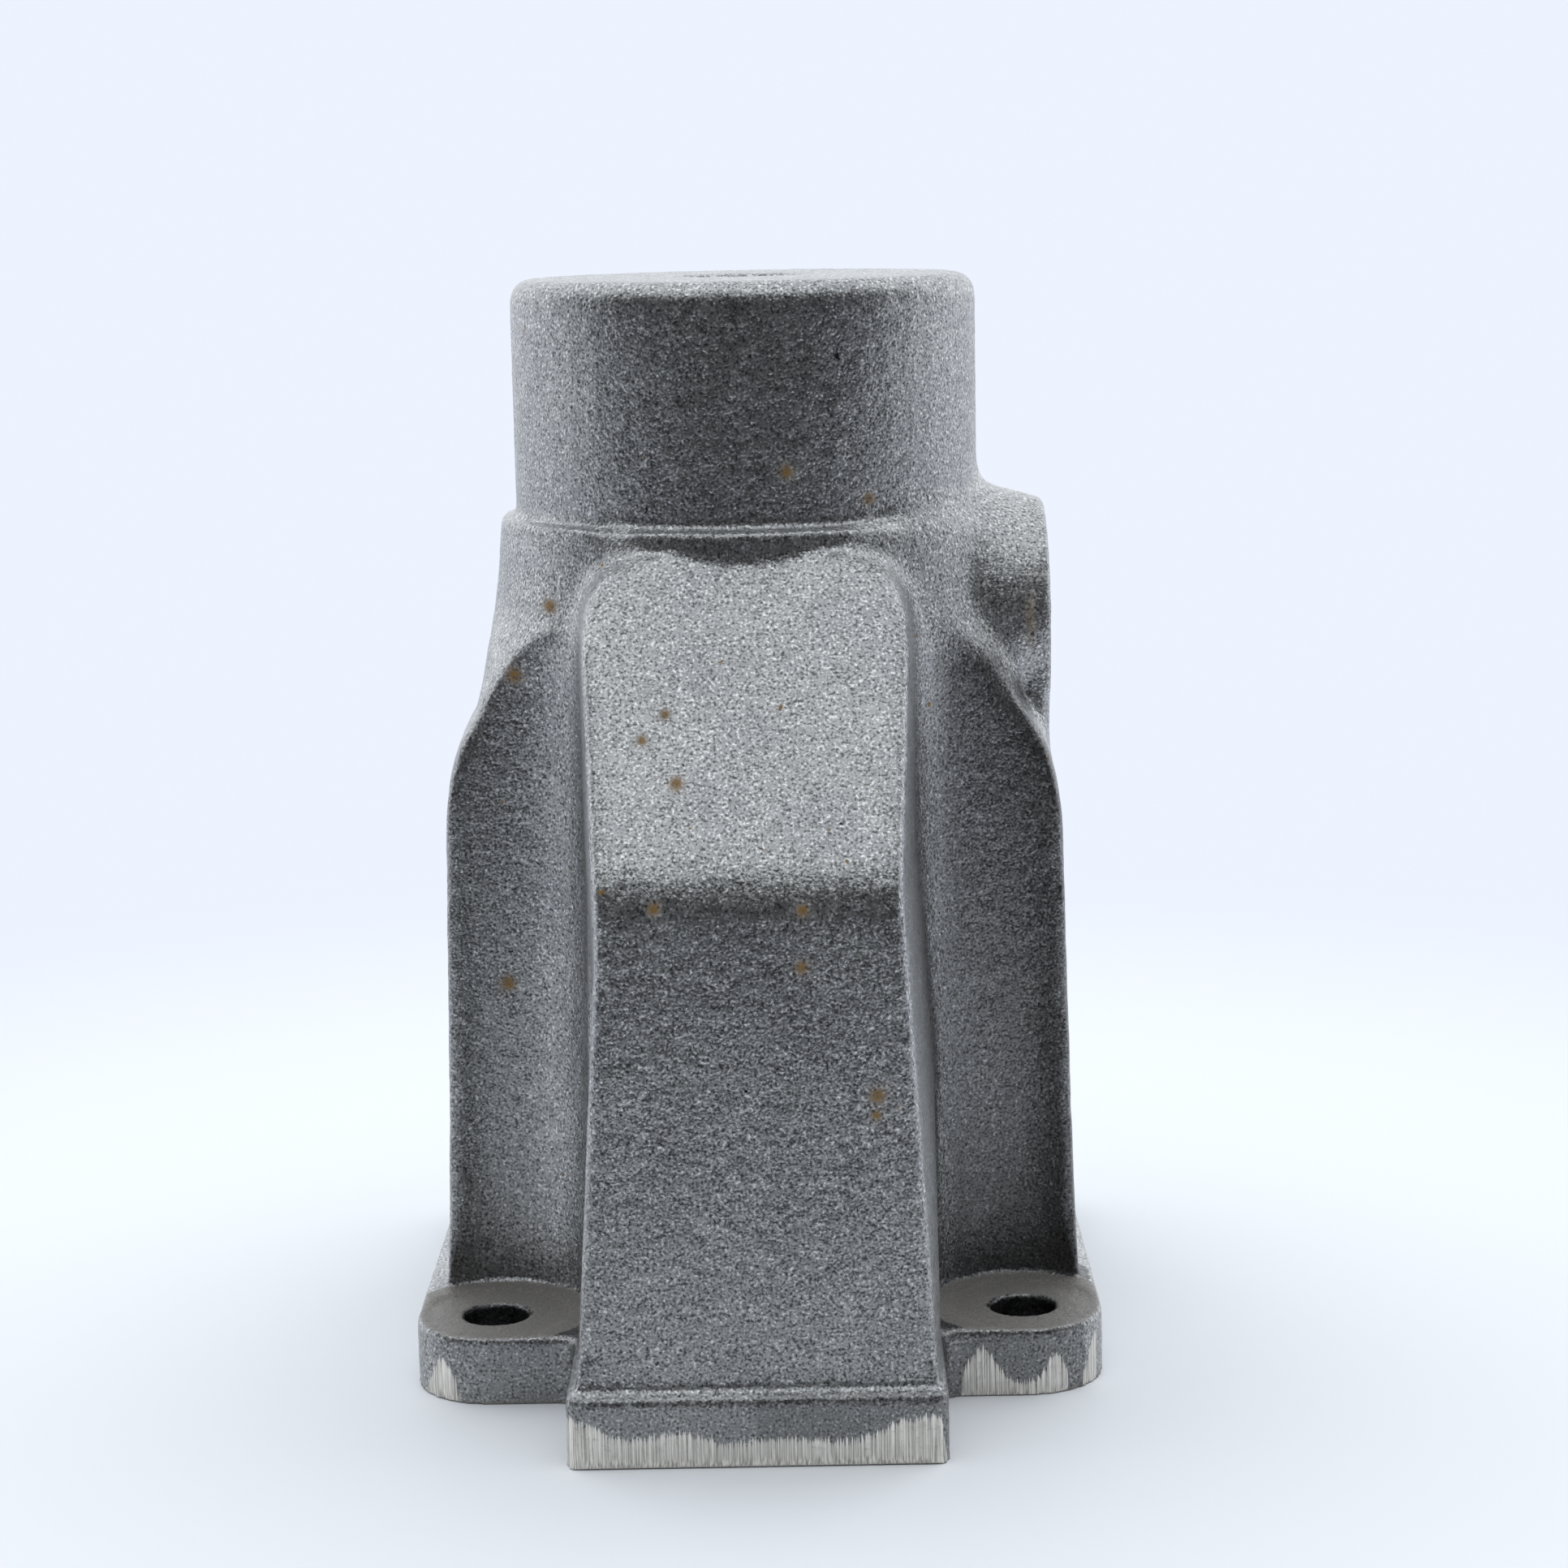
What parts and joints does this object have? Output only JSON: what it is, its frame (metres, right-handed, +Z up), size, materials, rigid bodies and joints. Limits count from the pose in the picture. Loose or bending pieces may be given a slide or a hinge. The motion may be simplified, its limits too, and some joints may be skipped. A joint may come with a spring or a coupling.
{
  "type": "cylinder head",
  "caption": "Cast-iron cylinder head with a square bolt flange, a front riser duct, a round neck, a side boss and a sprung inlet valve inside.",
  "frame": {"origin": "centre of the footprint on the flange's joint face", "axes": "+Z up the neck, -Y towards the riser duct at the front, +X towards the side boss"},
  "size_m": [0.095, 0.12, 0.1505],
  "materials": {
    "cast_iron": "as-cast, sand-textured",
    "cage_iron": "turned",
    "steel": "turned",
    "spring_steel": "oiled wire",
    "bronze": "reamed",
    "copper": "annealed"
  },
  "bodies": {
    "head": {"head_casting": "cast_iron", "valve_cage": "cage_iron", "cage_gasket": "copper", "cage_ring_nut": "steel", "seat_ring": "steel", "valve_guide": "bronze", "spring_washer": "steel", "valve_spring": "spring_steel"},
    "valve": {"inlet_valve": "steel", "spring_retainer": "steel", "keeper_left": "steel", "keeper_right": "steel"}
  },
  "joints": [
    {"name": "valve_slide", "type": "slide", "parent": "head", "child": "valve", "axis": [0, 0, -1], "range_m": [0, 0.006], "stiffness_N_per_m": 900, "springref_m": -0.008, "deforming": ["valve_spring"]}
  ]
}
